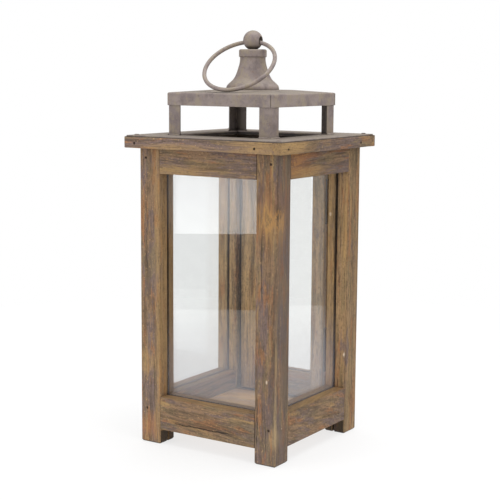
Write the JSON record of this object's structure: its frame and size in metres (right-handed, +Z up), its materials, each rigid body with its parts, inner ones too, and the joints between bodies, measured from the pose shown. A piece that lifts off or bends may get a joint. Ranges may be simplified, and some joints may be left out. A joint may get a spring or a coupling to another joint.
{
  "type": "hanging candle lantern",
  "caption": "Square rustic wood lantern with glass panes, a hinged glazed back door, a vented metal cap and a carry ring that swings in the finial.",
  "frame": {"origin": "centre of the square footprint, on the plane under the feet", "axes": "+Z up, -Y the front, the glazed door in the +Y face, +X the side of the door's hinges"},
  "size_m": [0.179, 0.179, 0.4075],
  "materials": {
    "stained_wood": "weathered stain, matte",
    "dowel_wood": "bare",
    "glass": "clear",
    "cap_metal": "matte taupe",
    "hinge_steel": "blackened, matte",
    "nail_steel": "dull",
    "bare_steel": "dull zinc"
  },
  "bodies": {
    "root": {"back_cornice": "stained_wood", "back_head_rail": "stained_wood", "back_left_post": "stained_wood", "back_right_post": "stained_wood", "back_sill": "stained_wood", "bell": "cap_metal", "bell_collar": "cap_metal", "cap_leg_back_left": "cap_metal", "cap_leg_back_right": "cap_metal", "cap_leg_front_left": "cap_metal", "cap_leg_front_right": "cap_metal", "cap_nails": "cap_metal", "cap_plate": "cap_metal", "cornice_nails": "nail_steel", "door_stop": "stained_wood", "finial_ball": "cap_metal", "finial_nut": "bare_steel", "finial_stud": "bare_steel", "finial_washer": "bare_steel", "floor_board": "stained_wood", "frame_dowels": "dowel_wood", "frame_nails": "nail_steel", "front_bottom_rail": "stained_wood", "front_cornice": "stained_wood", "front_glass": "glass", "front_left_post": "stained_wood", "front_right_post": "stained_wood", "front_top_rail": "stained_wood", "hinge_post_screws": "hinge_steel", "latch_screw": "hinge_steel", "latch_washer": "hinge_steel", "left_bottom_rail": "stained_wood", "left_cornice": "stained_wood", "left_glass": "glass", "left_top_rail": "stained_wood", "lower_hinge_pin": "hinge_steel", "lower_hinge_post_leaf": "hinge_steel", "right_bottom_rail": "stained_wood", "right_cornice": "stained_wood", "right_glass": "glass", "right_top_rail": "stained_wood", "roof_lid": "cap_metal", "upper_hinge_pin": "hinge_steel", "upper_hinge_post_leaf": "hinge_steel"},
    "door": {"door_latch_stile": "stained_wood", "door_hinge_stile": "stained_wood", "door_bottom_rail": "stained_wood", "door_top_rail": "stained_wood", "door_dowels": "dowel_wood", "door_glass": "glass", "upper_hinge_door_leaf": "hinge_steel", "lower_hinge_door_leaf": "hinge_steel", "hinge_door_screws": "hinge_steel"},
    "latch": {"latch_button": "hinge_steel"},
    "ring": {"carry_ring": "cap_metal"}
  },
  "joints": [
    {"name": "door_hinge", "type": "hinge", "parent": "root", "child": "door", "pos_m": [0.05245, 0.0809, 0.16], "axis": [0, 0, -1], "range_deg": [0, 170]},
    {"name": "latch_turn", "type": "hinge", "parent": "root", "child": "latch", "pos_m": [-0.06725, 0.0798, 0.16], "axis": [0, 1, 0], "continuous": true},
    {"name": "ring_swing", "type": "hinge", "parent": "root", "child": "ring", "pos_m": [-0.00119, -0.00015, 0.3964], "axis": [-0.9925, -0.1219, 0], "range_deg": [0, 260.5]}
  ]
}
